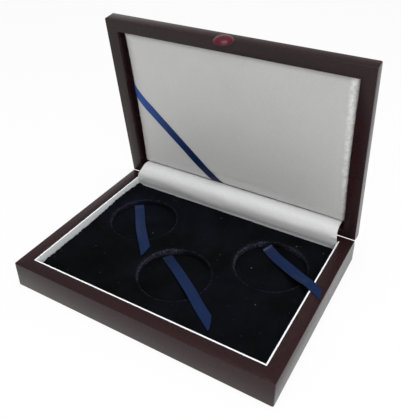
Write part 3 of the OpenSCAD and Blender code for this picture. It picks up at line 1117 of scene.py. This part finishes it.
@dataclass
class VelvetInsert:
    """Velvet over foam with three round recesses, each with a velvet floor and a fuzzy cut edge whose frayed pile
    carries a painted highlight where it faces the light.
    """

    layout: Layout
    voxel: float = 0.75 * MM
    pad_edge: float = 2.2 * MM
    lip: float = 0.7 * MM
    overlap: float = 0.35 * MM
    lip_shown: float = 0.35 * MM
    # Arcs of each recess wall, in degrees, that face the light and get the painted highlight, with its strength
    frayed_and_lit: ClassVar[dict[str, tuple[tuple[float, float, float], ...]]] = {
        "left": ((140, 215, 0.5),), "front": ((112, 218, 1.1),), "right": ((122, 212, 1.0), (52, 88, 1.0)),
    }

    def build(self) -> None:
        """Builds the pad and the three floors."""
        velvet = Velvet().material()
        floors = {side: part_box(f"recess_floor_{side}") for side in ("left", "front", "right")}
        pad = self.pad(list(floors.values()))
        wear(pad, velvet, 60)
        self.fray(pad, floors)
        settle(pad, "case", ["velvet_cover", "insert_foam"])
        for side, (low, high) in floors.items():
            floor = self.floor(f"velvet_floor_{side}", low, high)
            wear(floor, velvet, 60)
            settle(floor, "case", [f"recess_floor_{side}"])

    def pad(self, floors: Sequence[tuple[Vector, Vector]]) -> bpy.types.Object:
        """Models the pad.

        Args:
            floors: Boxes of the three recess floors.

        Returns:
            The pad.
        """
        low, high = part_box("velvet_cover")
        pad = block("velvet_pad", low, high)
        with editing(pad, "EDGE") as mesh:
            pick(mesh, "edges", lambda e: all(v.co.z > high.z - 1e-6 for v in e.verts), pad)
            bpy.ops.mesh.bevel(offset=self.pad_edge, segments=6, affect="EDGES")
        for floor_low, floor_high in floors:
            centre = (floor_low + floor_high) / 2
            radius = (floor_high.x - floor_low.x) / 2 - self.overlap
            free_hands()
            bpy.ops.mesh.primitive_cylinder_add(
                vertices=96, radius=radius, depth=4 * (high.z - low.z), location=(centre.x, centre.y, high.z)
            )
            carve(pad, bpy.context.object)
        with editing(pad, "EDGE") as mesh:
            pick(mesh, "edges", lambda e: self.on_lip(e, high.z), pad)
            bpy.ops.mesh.bevel(offset=self.lip, segments=3, affect="EDGES")
        apply_modifier(pad, "REMESH", mode="VOXEL", voxel_size=self.voxel)
        apply_modifier(pad, "SMOOTH", factor=0.5, iterations=3)

        def nap(at: Vector) -> Vector:
            if at.z < low.z + 1.5 * MM:
                return at
            dip = 0.16 * ripple(at, 60, 3) + 0.09 * ripple(at, 190, 9) + 0.05 * ripple(at, 900, 5)
            rise = self.tucked(at, low.x) - 0.16
            return at + Vector((0.06 * ripple(at, 400, 1), 0.06 * ripple(at, 400, 2), dip + rise)) * MM

        sculpt(pad, nap)
        return pad

    @staticmethod
    def tucked(at: Vector, edge: float) -> float:
        """How far the velvet stands up where its left edge is pushed against the liner.

        Args:
            at: A point of the pad.
            edge: Place of the left edge.

        Returns:
            The rise in millimetres.
        """
        near = 1 - ramp(at.x - edge, 0.4 * MM, 5 * MM)
        swell = math.exp(-(((at.y - 30 * MM) / (17 * MM)) ** 2))
        ragged = 0.8 * ripple(Vector((0, at.y, 0)), 210, 6) + 0.8 * ripple(Vector((0, at.y, 0)), 620, 2)
        return near * (1.3 + 1.7 * swell + ragged)

    def fray(self, pad: bpy.types.Object, floors: dict[str, tuple[Vector, Vector]]) -> None:
        """Marks on each point how much painted highlight its frayed pile gets: on the walls, the lips and just outside
        them, most on the arcs that face the light.

        Args:
            pad: The pad.
            floors: Boxes of the three recess floors.
        """
        mark = pad.data.attributes.new("fray", "FLOAT", "POINT")
        for side, (low, high) in floors.items():
            centre = (low + high) / 2
            radius = (high.x - low.x) / 2
            for vertex in pad.data.vertices:
                arm = (vertex.co - centre).to_2d()
                out = arm.length - radius
                if abs(out) > 5 * MM or vertex.co.z < high.z:
                    continue
                turn = math.degrees(math.atan2(arm.y, arm.x)) % 360
                rough = max(
                    share * ramp(turn, start - 15, start + 15) * (1 - ramp(turn, end - 15, end + 15))
                    for start, end, share in self.frayed_and_lit[side]
                )
                tuft = 0.5 + 0.9 * ripple(vertex.co, 420, 3)
                # Painted highlight: strong on the lit arcs of the wall, and a thin line along every lip
                if out < self.lip_shown:
                    amount = 0.05 + 0.95 * rough * (0.65 + 0.5 * tuft)
                else:
                    line = (1 - ramp(out, self.lip_shown, 2.6 * self.lip_shown)) * tuft * 1.3
                    amount = line + 0.8 * rough * tuft * math.exp(-out / (1.1 * MM))
                mark.data[vertex.index].value = max(0.0, min(1.0, amount))

    @staticmethod
    def on_lip(edge: bmesh.types.BMEdge, top: float) -> bool:
        """Whether an edge lies on the rim of a recess.

        Args:
            edge: The edge.
            top: Height of the velvet.

        Returns:
            True on the rim.
        """
        if any(v.co.z < top - 1e-6 for v in edge.verts) or len(edge.link_faces) != 2:
            return False
        return edge.calc_face_angle(0) > 1

    def floor(self, name: str, low: Vector, high: Vector) -> bpy.types.Object:
        """Models the velvet floor of a recess.

        Args:
            name: The piece's name.
            low: Its lowest corner.
            high: Its highest corner.

        Returns:
            The floor.
        """
        centre = (low + high) / 2
        free_hands()
        bpy.ops.mesh.primitive_cylinder_add(
            vertices=96, radius=(high.x - low.x) / 2, depth=high.z - low.z, location=centre
        )
        floor = bpy.context.object
        floor.name = name
        bpy.ops.object.transform_apply(location=True)
        with editing(floor) as mesh:
            pick(mesh, "faces", lambda f: f.normal.z > 0.9, floor)
            for _ in range(7):
                bpy.ops.mesh.inset(thickness=3 * MM)
        sculpt(floor, lambda at: at + Vector((0, 0, (0.06 * ripple(at, 300, 4) - 0.05) * MM))
               if at.z > centre.z else at)
        return floor


@dataclass
class BaseLiners:
    """Satin-covered card strips round the inside of the base."""

    layout: Layout

    def build(self) -> None:
        """Builds the three strips."""
        satin = Satin("satin_liner", (0.90, 0.93, 0.95)).material()
        for side in ("front", "left", "right"):
            low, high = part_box(f"liner_{side}")
            strip = block(f"satin_liner_{side}", low, high)
            along = 0 if side == "front" else 1
            with editing(strip, "EDGE") as mesh:
                pick(mesh, "edges", lambda e: runs_along(e, along), strip)
                bpy.ops.mesh.subdivide(number_cuts=90)
            soften(strip, 0.32 * MM, 3, 60)
            inward = {"front": Vector((0, 1, 0)), "left": Vector((1, 0, 0)), "right": Vector((-1, 0, 0))}[side]
            self.rumple(strip, inward, high.z)
            wear(strip, satin, 50)
            settle(strip, "case", [f"liner_{side}"])

    @staticmethod
    def rumple(strip: bpy.types.Object, inward: Vector, top: float) -> None:
        """Gives the satin its small unevenness, into the case only.

        Args:
            strip: The strip.
            inward: Direction to the middle of the case.
            top: Height of the strip's top.
        """
        def move(at: Vector) -> Vector:
            wave = 0.5 + 0.5 * ripple(Vector((at.x, at.y, at.z * 0.3)), 170, 7)
            fine = 0.5 + 0.5 * ripple(Vector((at.x, at.y, at.z * 0.2)), 700, 2)
            drop = Vector((0, 0, -1)) * (0.12 * wave if at.z > top - 0.5 * MM else 0)
            return at + (inward * (0.05 * wave + 0.04 * fine) + drop) * MM

        sculpt(strip, move)


class LiftRoute(Enum):
    """The lift ribbons, from the recess floor to the free end.

    Each one has the slant of its cut end in millimetres, then the points of its centre line: x, y and z in
    millimetres and how far the ribbon rolls about its length there, in degrees.
    """

    LEFT = (8.5, (
        (-65.2, 34.44, 8.25, 0), (-64.4, 33.41, 9.85, 0), (-61.6, 29.8, 9.15, 0), (-55, 21.3, 9.4, 0),
        (-47.1, 11.2, 11, 0), (-38.6, 1.5, 12.7, 0), (-32, -5.5, 12.9, 0), (-25, -13.2, 13.2, 0),
    ))
    FRONT = (10.5, (
        (-16, -2.83, 8.25, 0), (-15.1, -3.42, 8.95, 0), (-11.9, -5.5, 8.65, 0), (-3.6, -10.9, 9.3, 0),
        (7.6, -19.2, 10.9, 0), (19, -28, 12.8, 0), (29, -35.6, 12.8, 0), (44, -46.2, 13.4, 0),
    ))
    RIGHT = (6.4, (
        (37.95, 36.85, 8.4, 0), (39.2, 36.01, 10.9, 16), (41.6, 34.4, 10.5, 20), (49, 29.4, 10.6, 20),
        (58, 23.6, 12.2, 19), (66.3, 18, 14.1, 16), (72.6, 13.4, 16.2, 9), (78, 10, 17.98, 0),
        (83.5, 6.9, 17.98, 0), (90.5, 3.2, 17.98, 0),
    ))


@dataclass
class LiftRibbons:
    """The ribbons that lift a badge out of its recess."""

    layout: Layout
    width: float = 7.0 * MM
    thickness: float = 0.14 * MM
    squares_across: int = 12
    squares_along: int = 120
    # Light and shade painted on each ribbon's end in its recess: near black in the shaded front recess, greyer and
    # lighter on the left
    shade: ClassVar[dict[str, Colour]] = {
        "left": (0.0160, 0.0205, 0.055), "front": (0.0030, 0.0030, 0.0050), "right": (0.0045, 0.0095, 0.035),
    }

    def build(self) -> None:
        """Builds the three ribbons."""
        for route in LiftRoute:
            side = route.name.lower()
            slant, stops = route.value
            points = [Vector((x * MM, y * MM, z * MM, math.radians(roll))) for x, y, z, roll in stops]
            length = sum((b - a).to_3d().length for a, b in zip(points, points[1:]))
            ribbon = self.strip(f"navy_ribbon_{side}", points, slant * MM)
            finish = NavyRibbon(f"navy_ribbon_{side}", length, self.width, start_painted_light=self.shade[side],
                                start_length=0.55 * length)
            wear(ribbon, finish.material(), 60)
            settle(ribbon, "case", [f"lift_ribbon_{side}"])
            middle = len(points) - 1 - slant * MM / 2 / (points[-1] - points[-2]).to_3d().length
            line = [curve_at(points, middle * i / 40).to_3d() for i in range(41)]
            real = sum((b - a).length for a, b in zip(line, line[1:]))
            tuple(line[0])
            [tuple(p) for p in line]

    def strip(self, name: str, points: Sequence[Vector], slant: float) -> bpy.types.Object:
        """Lays a ribbon along its route, with its free end cut on the slant.

        Args:
            name: The piece's name.
            points: The centre line, with the ribbon's roll as the fourth number.
            slant: How much shorter the inner edge is than the outer one.

        Returns:
            The ribbon.
        """
        last = len(points) - 1
        cut = slant / (points[last] - points[last - 1]).to_3d().length
        ribbon = cloth_grid(name, self.squares_across, self.squares_along)

        def lay(at: Vector) -> Vector:
            s = (at.y + 0.5) * (last - cut * (at.x + 0.5))
            here = curve_at(points, s)
            travel = curve_at(points, s + 0.02) - curve_at(points, s - 0.02)
            square = Vector((-travel.y, travel.x, 0)).normalized()
            side = square * math.cos(here[3]) + Vector((0, 0, math.sin(here[3])))
            cup = 0.10 * (2 * at.x) ** 2 * math.sin(3.1 * s / last + len(name))
            flutter = 0.05 * ripple(Vector((at.x, at.y * 9, 0)), 1.0, len(name))
            return here.to_3d() + side * at.x * self.width + Vector((0, 0, cup + flutter)) * MM

        sculpt(ribbon, lay)
        apply_modifier(ribbon, "SOLIDIFY", thickness=self.thickness, offset=0.0)
        return ribbon


# Lid: satin pad, corner ribbon, knob and hinge flap


@dataclass
class LidPad:
    """Satin drawn over thin foam: a crowned pad whose sides pull in, with puckers along its edges."""

    layout: Layout
    crown: float = 2.5 * MM
    edge_h: float = 0.8 * MM
    round_w: float = 6.0 * MM
    draw_in: float = 1.0 * MM
    cuts: tuple[int, int] = (80, 56)

    def build(self) -> bpy.types.Object:
        """Builds the pad.

        Returns:
            The pad, at the lid's displayed angle.
        """
        low, high = self.layout.closed_box("lining_satin")
        self.low, self.high = low, high
        pad = block("satin_pad", low, high)
        for axis, cuts in enumerate(self.cuts):
            with editing(pad, "EDGE") as mesh:
                pick(mesh, "edges", lambda e: runs_along(e, axis), pad)
                bpy.ops.mesh.subdivide(number_cuts=cuts)
        sculpt(pad, self.crowned)
        inflate(pad, lambda at: at.z > high.z - 0.35 * self.crown, 0.5 * MM, 3.0)
        sculpt(pad, self.within)
        apply_modifier(pad, "SUBSURF", levels=1, render_levels=1)
        sculpt(pad, self.pucker)
        sculpt(pad, self.within)
        self.gather(pad)
        # The pad's satin is a darker copy of the flap's satin: painted shade on the pad
        wear(pad, Satin("satin_pad", (0.63, 0.63, 0.622)).material(), 80)
        pad.data.transform(self.layout.opened)
        settle(pad, "lid", ["lining_satin", "lining_foam"])
        return pad

    def gather(self, pad: bpy.types.Object) -> None:
        """Marks where the satin is gathered along the right edge, for the highlight painted there.

        Args:
            pad: The pad, closed.
        """
        mark = pad.data.attributes.new("gather", "FLOAT", "POINT")
        length = self.high.y - self.low.y
        for vertex in pad.data.vertices:
            at = vertex.co
            share = (self.high.y - at.y) / length
            width = (3.4 + 2.6 * share + 0.9 * ripple(Vector((0, at.y, 0)), 190, 4)) * MM
            inside = self.high.x - self.draw_in * 4 * share * (1 - share) - at.x
            if at.z < self.high.z - 0.3 * MM and inside < width:
                mark.data[vertex.index].value = ramp(width - inside, 0, 2.6 * MM)

    def crowned(self, at: Vector) -> Vector:
        """Draws a block into the crowned pad.

        Args:
            at: A point of the block.

        Returns:
            The point of the pad.
        """
        mid, half = (self.low + self.high) / 2, (self.high - self.low) / 2
        u, v = (at.x - mid.x) / half.x, (at.y - mid.y) / half.y
        wide = half.x - self.draw_in * (1 - v * v)
        deep = half.y - 0.4 * self.draw_in * (1 - u * u)
        fall = self.fall(wide * (1 - abs(u))) * self.fall(deep * (1 - abs(v)))
        rise = self.edge_h + (self.crown - self.edge_h) * fall
        share = (self.high.z - at.z) / (self.high.z - self.low.z)
        return Vector((mid.x + wide * u, mid.y + deep * v, self.high.z - rise * share))

    def fall(self, distance: float) -> float:
        """How far the crown has risen at a distance from the edge.

        Args:
            distance: The distance.

        Returns:
            From 0 at the edge to 1.
        """
        k = max(0.0, min(1.0, distance / self.round_w))
        return math.sqrt(k * (2 - k))

    def within(self, at: Vector) -> Vector:
        """Keeps a point inside the pad's box.

        Args:
            at: The point.

        Returns:
            The point, moved if need be.
        """
        low, high = self.low, self.high
        return Vector(min(max(at[i], low[i]), high[i]) for i in range(3))

    def pucker(self, at: Vector) -> Vector:
        """Puckers the satin near its edges and gives its middle a soft unevenness.

        Args:
            at: A point of the pad.

        Returns:
            The puckered point.
        """
        if at.z > self.high.z - 0.3 * MM:
            return at
        side = min(at.x - self.low.x, self.high.x - at.x)
        end = min(at.y - self.low.y, self.high.y - at.y)
        near_side = 1 - ramp(side, 2.5 * MM, 9 * MM)
        near_end = 1 - ramp(end, 2 * MM, 7 * MM)
        deep = 0.36 if at.x > 0 else 0.22
        folds = near_side * ripple(Vector((at.x * 0.12, at.y, 0)), 260, 6) * deep
        folds += near_end * ripple(Vector((at.x, at.y * 0.12, 0)), 230, 8) * 0.14
        soft = 0.10 * ripple(at, 45, 2) + 0.05 * ripple(at, 160, 3)
        return at + Vector((0, 0, folds + soft + 0.12)) * MM


@dataclass
class CornerRibbon:
    """The ribbon across the lower left corner of the satin pad."""

    layout: Layout
    pad: bpy.types.Object
    width: float = 7.0 * MM
    offset: float = 4.6 * MM
    thickness: float = 0.14 * MM

    def build(self) -> None:
        """Builds the ribbon."""
        low, high = self.layout.closed_box("corner_ribbon")
        ribbon = cloth_grid("navy_ribbon_corner", 12, 130)
        half = self.width / math.sqrt(2)
        rise = low.z

        def lay(at: Vector) -> Vector:
            shift = self.offset - 2 * at.x * half
            x = low.x + (high.y - shift - low.x) * (at.y + 0.5)
            return Vector((x, x + shift, rise))

        sculpt(ribbon, lay)
        ribbon.data.transform(self.layout.opened)
        up = self.layout.opened.to_3x3() @ Vector((0, 0, -1))
        apply_modifier(
            ribbon, "SHRINKWRAP", target=self.pad, wrap_method="NEAREST_SURFACEPOINT",
            wrap_mode="ABOVE_SURFACE", offset=0.16 * MM,
        )
        apply_modifier(ribbon, "SMOOTH", factor=0.5, iterations=4)
        sculpt(ribbon, lambda at: at + up * (0.06 * ripple(at, 130, 4) + 0.06) * MM)
        apply_modifier(ribbon, "SOLIDIFY", thickness=self.thickness, offset=0.0)
        length = (high - low).to_2d().length
        # Painted sheen: bright royal blue where the ribbon meets the wall, fading to navy along it
        finish = NavyRibbon("navy_ribbon_corner", length, self.width, start_painted_light=(0.030, 0.105, 0.44),
                            start_length=0.9 * length, fade=2.2, gloss=0.15)
        wear(ribbon, finish.material(), 60)
        settle(ribbon, "lid", ["corner_ribbon"])


@dataclass
class ThumbKnob:
    """Domed knob in red lacquer on the lid's front face, relieved behind where it hangs over the rim."""

    layout: Layout
    drop: float = 2.2 * MM
    relief: float = 0.4 * MM
    tenon_r: float = 1.2 * MM
    tenon_l: float = 5.0 * MM

    def build(self) -> None:
        """Builds the knob."""
        low, high = self.layout.closed_box("thumb_knob")
        rail_low, rail_high = self.layout.closed_box("lid_front_rail")
        face = rail_low.y
        radius = (high.x - low.x) / 2
        proud = face - low.y
        centre = Vector((0, face, rail_low.z - self.drop))
        free_hands()
        bpy.ops.mesh.primitive_uv_sphere_add(segments=64, ring_count=32, radius=1, location=centre)
        knob = bpy.context.object
        knob.name = "thumb_knob_dome"
        knob.scale = (radius, proud, radius)
        bpy.ops.object.transform_apply(location=True, scale=True)
        shave(knob, centre, Vector((0, 1, 0)))
        past = Vector((1, 1, 1)) * 10 * MM
        under_low = Vector((-radius, face - self.relief, centre.z - radius)) - Vector((past.x, 0, past.z))
        under_high = Vector((radius, face, rail_low.z)) + Vector((past.x, past.y, 0))
        carve(knob, block("relief", under_low, under_high))
        soften(knob, 0.18 * MM, 2, 50)
        free_hands()
        bpy.ops.mesh.primitive_cylinder_add(
            vertices=32, radius=self.tenon_r, depth=self.tenon_l + proud / 2,
            location=(0, face + self.tenon_l / 2 - proud / 4, rail_low.z + 2.3 * MM),
            rotation=(math.radians(90), 0, 0),
        )
        tenon = bpy.context.object
        carve(knob, tenon, "UNION")
        finish = PlainFinish("red_lacquer", (0.064, 0.0055, 0.0135), (0.096, 0.010, 0.021), 0.38, 700.0, gloss=0.2,
                             bump_mm=0.01)
        wear(knob, finish.material(), 40)
        knob.data.transform(self.layout.opened)
        settle(knob, "lid", ["thumb_knob"])


@dataclass
class HingeFlap:
    """Satin flap from the rear of the velvet up to the lid's pad, full enough to let the lid close."""

    layout: Layout
    thickness: float = 0.5 * MM
    taper_left: float = 3.0 * MM
    taper_right: float = 1.0 * MM
    foot: tuple[float, float] = (-6.1, -9.85)

    def section(self) -> list[Vector]:
        """Points of its section in the row frame, from the foot to the tucked top edge.

        Returns:
            The points, at x = 0.
        """
        lay = self.layout
        turn = lay.opened.to_3x3()
        local = [Vector((0, y, z)) * MM for y, z in ((-12.0, -5.5), (-9.2, 3.85), (-8.9, 5.35))]
        tuck, top, end = (lay.hinge + turn @ p for p in local)
        foot = lay.hinge + Vector((0, *self.foot)) * MM
        start = lay.hinge + Vector((0, self.foot[0], -5.65)) * MM
        out = lay.hinge + Vector((0, self.foot[0] - 3.6, 3.0)) * MM
        return [foot, *(bezier(start, out, tuck, top, i / 40) for i in range(41)), end]

    def build(self) -> None:
        """Builds the flap."""
        points = self.section()
        lengths = [0.0]
        for a, b in zip(points, points[1:]):
            lengths.append(lengths[-1] + (b - a).length)
        total = lengths[-1]
        low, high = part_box("hinge_flap")
        wide = (high.x - low.x) / 2
        flap = cloth_grid("satin_flap", 200, 60)
        places = np.array([list(p) for p in points])

        def drape(at: Vector) -> Vector:
            s = (at.y + 0.5) * total
            y, z = (float(np.interp(s, lengths, places[:, i])) for i in (1, 2))
            taper = self.taper_left if at.x < 0 else self.taper_right
            half = wide - taper * ramp(z, 18 * MM, high.z)
            x = at.x * 2 * half
            middle = math.sin(math.pi * min(max(s / total, 0), 1))
            folds = 0.35 * ripple(Vector((x * 0.35, s * 2.0, 0)), 90, 5) + 0.12 * ripple(Vector((x, s * 0.5, 0)), 210, 7)
            ends = (1 - ramp(half - abs(x), 1 * MM, 7 * MM)) * 0.25 * ripple(Vector((0, s, 1 if x > 0 else 2)), 400, 3)
            return Vector((x, y - (folds + ends + 0.1) * middle * MM, z + 0.3 * folds * middle * MM))

        sculpt(flap, drape)
        outward(flap)
        apply_modifier(flap, "SOLIDIFY", thickness=self.thickness, offset=0.0)
        wear(flap, Satin("satin_flap", (0.765, 0.765, 0.77)).material(), 80)
        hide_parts("hinge_flap")
        tuple(points[1])
        tuple(points[-2])
        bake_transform(flap)


# Stage: floor, light and camera


@dataclass
class Studio:
    """Pale floor, soft light and the photograph's camera."""

    image_px: tuple[int, int] = (401, 419)
    focal_px: float = 556.7
    centre_px: tuple[float, float] = (200.3, 170.0)
    eye: Point = (0.1492, -0.23433, 0.25534)
    azimuth: float = 30.857
    elevation: float = 32.337
    roll: float = -0.727
    sensor: float = 36.0
    ambient: float = 0.26
    ceiling: float = 0.3

    def camera(self) -> None:
        """Places the camera as it was in the photograph."""
        data = bpy.data.cameras.new("photo_camera")
        camera = bpy.data.objects.new("photo_camera", data)
        bpy.context.scene.collection.objects.link(camera)
        wide, tall = self.image_px
        side = max(wide, tall)
        data.sensor_width = self.sensor
        data.lens = self.focal_px * self.sensor / side
        data.shift_x = (wide / 2 - self.centre_px[0]) / side
        data.shift_y = (self.centre_px[1] - tall / 2) / side
        data.clip_start = 0.01
        data.clip_end = 20.0
        look = Euler((math.radians(90 - self.elevation), 0, math.radians(self.azimuth)), "XYZ")
        tilt = Matrix.Rotation(math.radians(self.roll), 4, "Z")
        camera.matrix_world = Matrix.Translation(self.eye) @ look.to_matrix().to_4x4() @ tilt
        bpy.context.scene.camera = camera

    def floor(self) -> None:
        """Lays a pale floor that shows white to the camera and keeps the case's shadow."""
        free_hands()
        bpy.ops.mesh.primitive_plane_add(size=8.0, location=(0, 0, 0))
        floor = bpy.context.object
        floor.name = "floor"
        paint = Paint("pale_floor")
        paint.set(Base_Color=(0.86, 0.86, 0.86), Roughness=0.9, Specular_IOR_Level=0.1)
        path = paint.tree.nodes.new("ShaderNodeLightPath")
        rays = [Sock(paint.tree, path.outputs[f"Is {kind} Ray"]) for kind in ("Camera", "Glossy", "Transmission")]
        seen = rays[0].math("MAXIMUM", rays[1]).math("MAXIMUM", rays[2])
        glow = paint.node("Emission", Color=(1.0, 1.0, 1.0), Strength=1.0)
        made = paint.tree.nodes.new("ShaderNodeMixShader")
        paint.feed(made.inputs[0], seen * 0.78 + rays[0] * 0.09)
        paint.tree.links.new(paint.shader.outputs[0], made.inputs[1])
        paint.tree.links.new(glow.socket, made.inputs[2])
        out = next(n for n in paint.tree.nodes if n.type == "OUTPUT_MATERIAL")
        paint.tree.links.new(made.outputs[0], out.inputs["Surface"])
        floor.data.materials.append(paint.material)

    def world(self) -> None:
        """A white sweep under a dimmer ceiling where it is mirrored, and a softer one for the light it gives."""
        world = bpy.data.worlds.new("studio")
        bpy.context.scene.world = world
        world.use_nodes = True
        tree = world.node_tree
        background = tree.nodes["Background"]
        path = tree.nodes.new("ShaderNodeLightPath")
        camera = Sock(tree, path.outputs["Is Camera Ray"])
        glossy = Sock(tree, path.outputs["Is Glossy Ray"])
        through = Sock(tree, path.outputs["Is Transmission Ray"])
        where = tree.nodes.new("ShaderNodeTexCoord")
        split = tree.nodes.new("ShaderNodeSeparateXYZ")
        tree.links.new(where.outputs["Generated"], split.inputs[0])
        ceiling = Sock(tree, split.outputs["Z"]).step(0.30, 0.50)
        mirrored = glossy * (1.0 - ceiling * (1.0 - self.ceiling))
        direct = camera.math("MAXIMUM", through).math("MAXIMUM", mirrored)
        tree.links.new(direct.math("MAXIMUM", self.ambient).socket, background.inputs["Strength"])
        background.inputs["Color"].default_value = (1.0, 1.0, 1.0, 1.0)

    def lamp(self, name: str, at: Point, size: float, power: float) -> None:
        """Adds a square softbox that faces the case.

        Args:
            name: The lamp's name.
            at: Its place, in metres.
            size: Its side.
            power: Its power in watts.
        """
        data = bpy.data.lights.new(name, "AREA")
        data.size = size
        data.energy = power
        lamp = bpy.data.objects.new(name, data)
        bpy.context.scene.collection.objects.link(lamp)
        lamp.location = at
        aim = Vector((0, 0.02, 0.05)) - Vector(at)
        lamp.rotation_euler = aim.to_track_quat("-Z", "Y").to_euler()

    def build(self) -> None:
        """Sets up the whole studio."""
        self.camera()
        self.floor()
        self.world()
        self.lamp("side", (0.60, -0.90, 0.90), 0.6, 6.9)
        self.lamp("overhead", (0.15, -0.15, 2.0), 1.0, 29.0)
        bpy.context.scene.view_settings.view_transform = "Standard"


def main() -> None:
    """Builds the case in order and reports each piece."""
    logging.basicConfig(level=logging.INFO, format="%(name)s: %(message)s")
    random.seed(SEED)
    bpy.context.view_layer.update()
    layout = Layout()
    Studio().build()
    Joinery(layout).build()
    VelvetInsert(layout).build()
    BaseLiners(layout).build()
    LiftRibbons(layout).build()
    pad = LidPad(layout).build()
    CornerRibbon(layout, pad).build()
    ThumbKnob(layout).build()
    HingeFlap(layout).build()
    brass = PlainFinish("brass", (0.62, 0.42, 0.17), (0.7, 0.5, 0.22), 0.3, 1500.0, metallic=1.0)
    for node in frame["nodes"]:
        if node.startswith("hinge_") and "flap" not in node or node.endswith("_screws"):
            wear_cad(node, brass)
    for node in ("insert_board", "lining_board"):
        wear_cad(node, PlainFinish("card", (0.045, 0.045, 0.048), (0.07, 0.07, 0.074), 0.85))


if __name__ == "__main__":
    main()
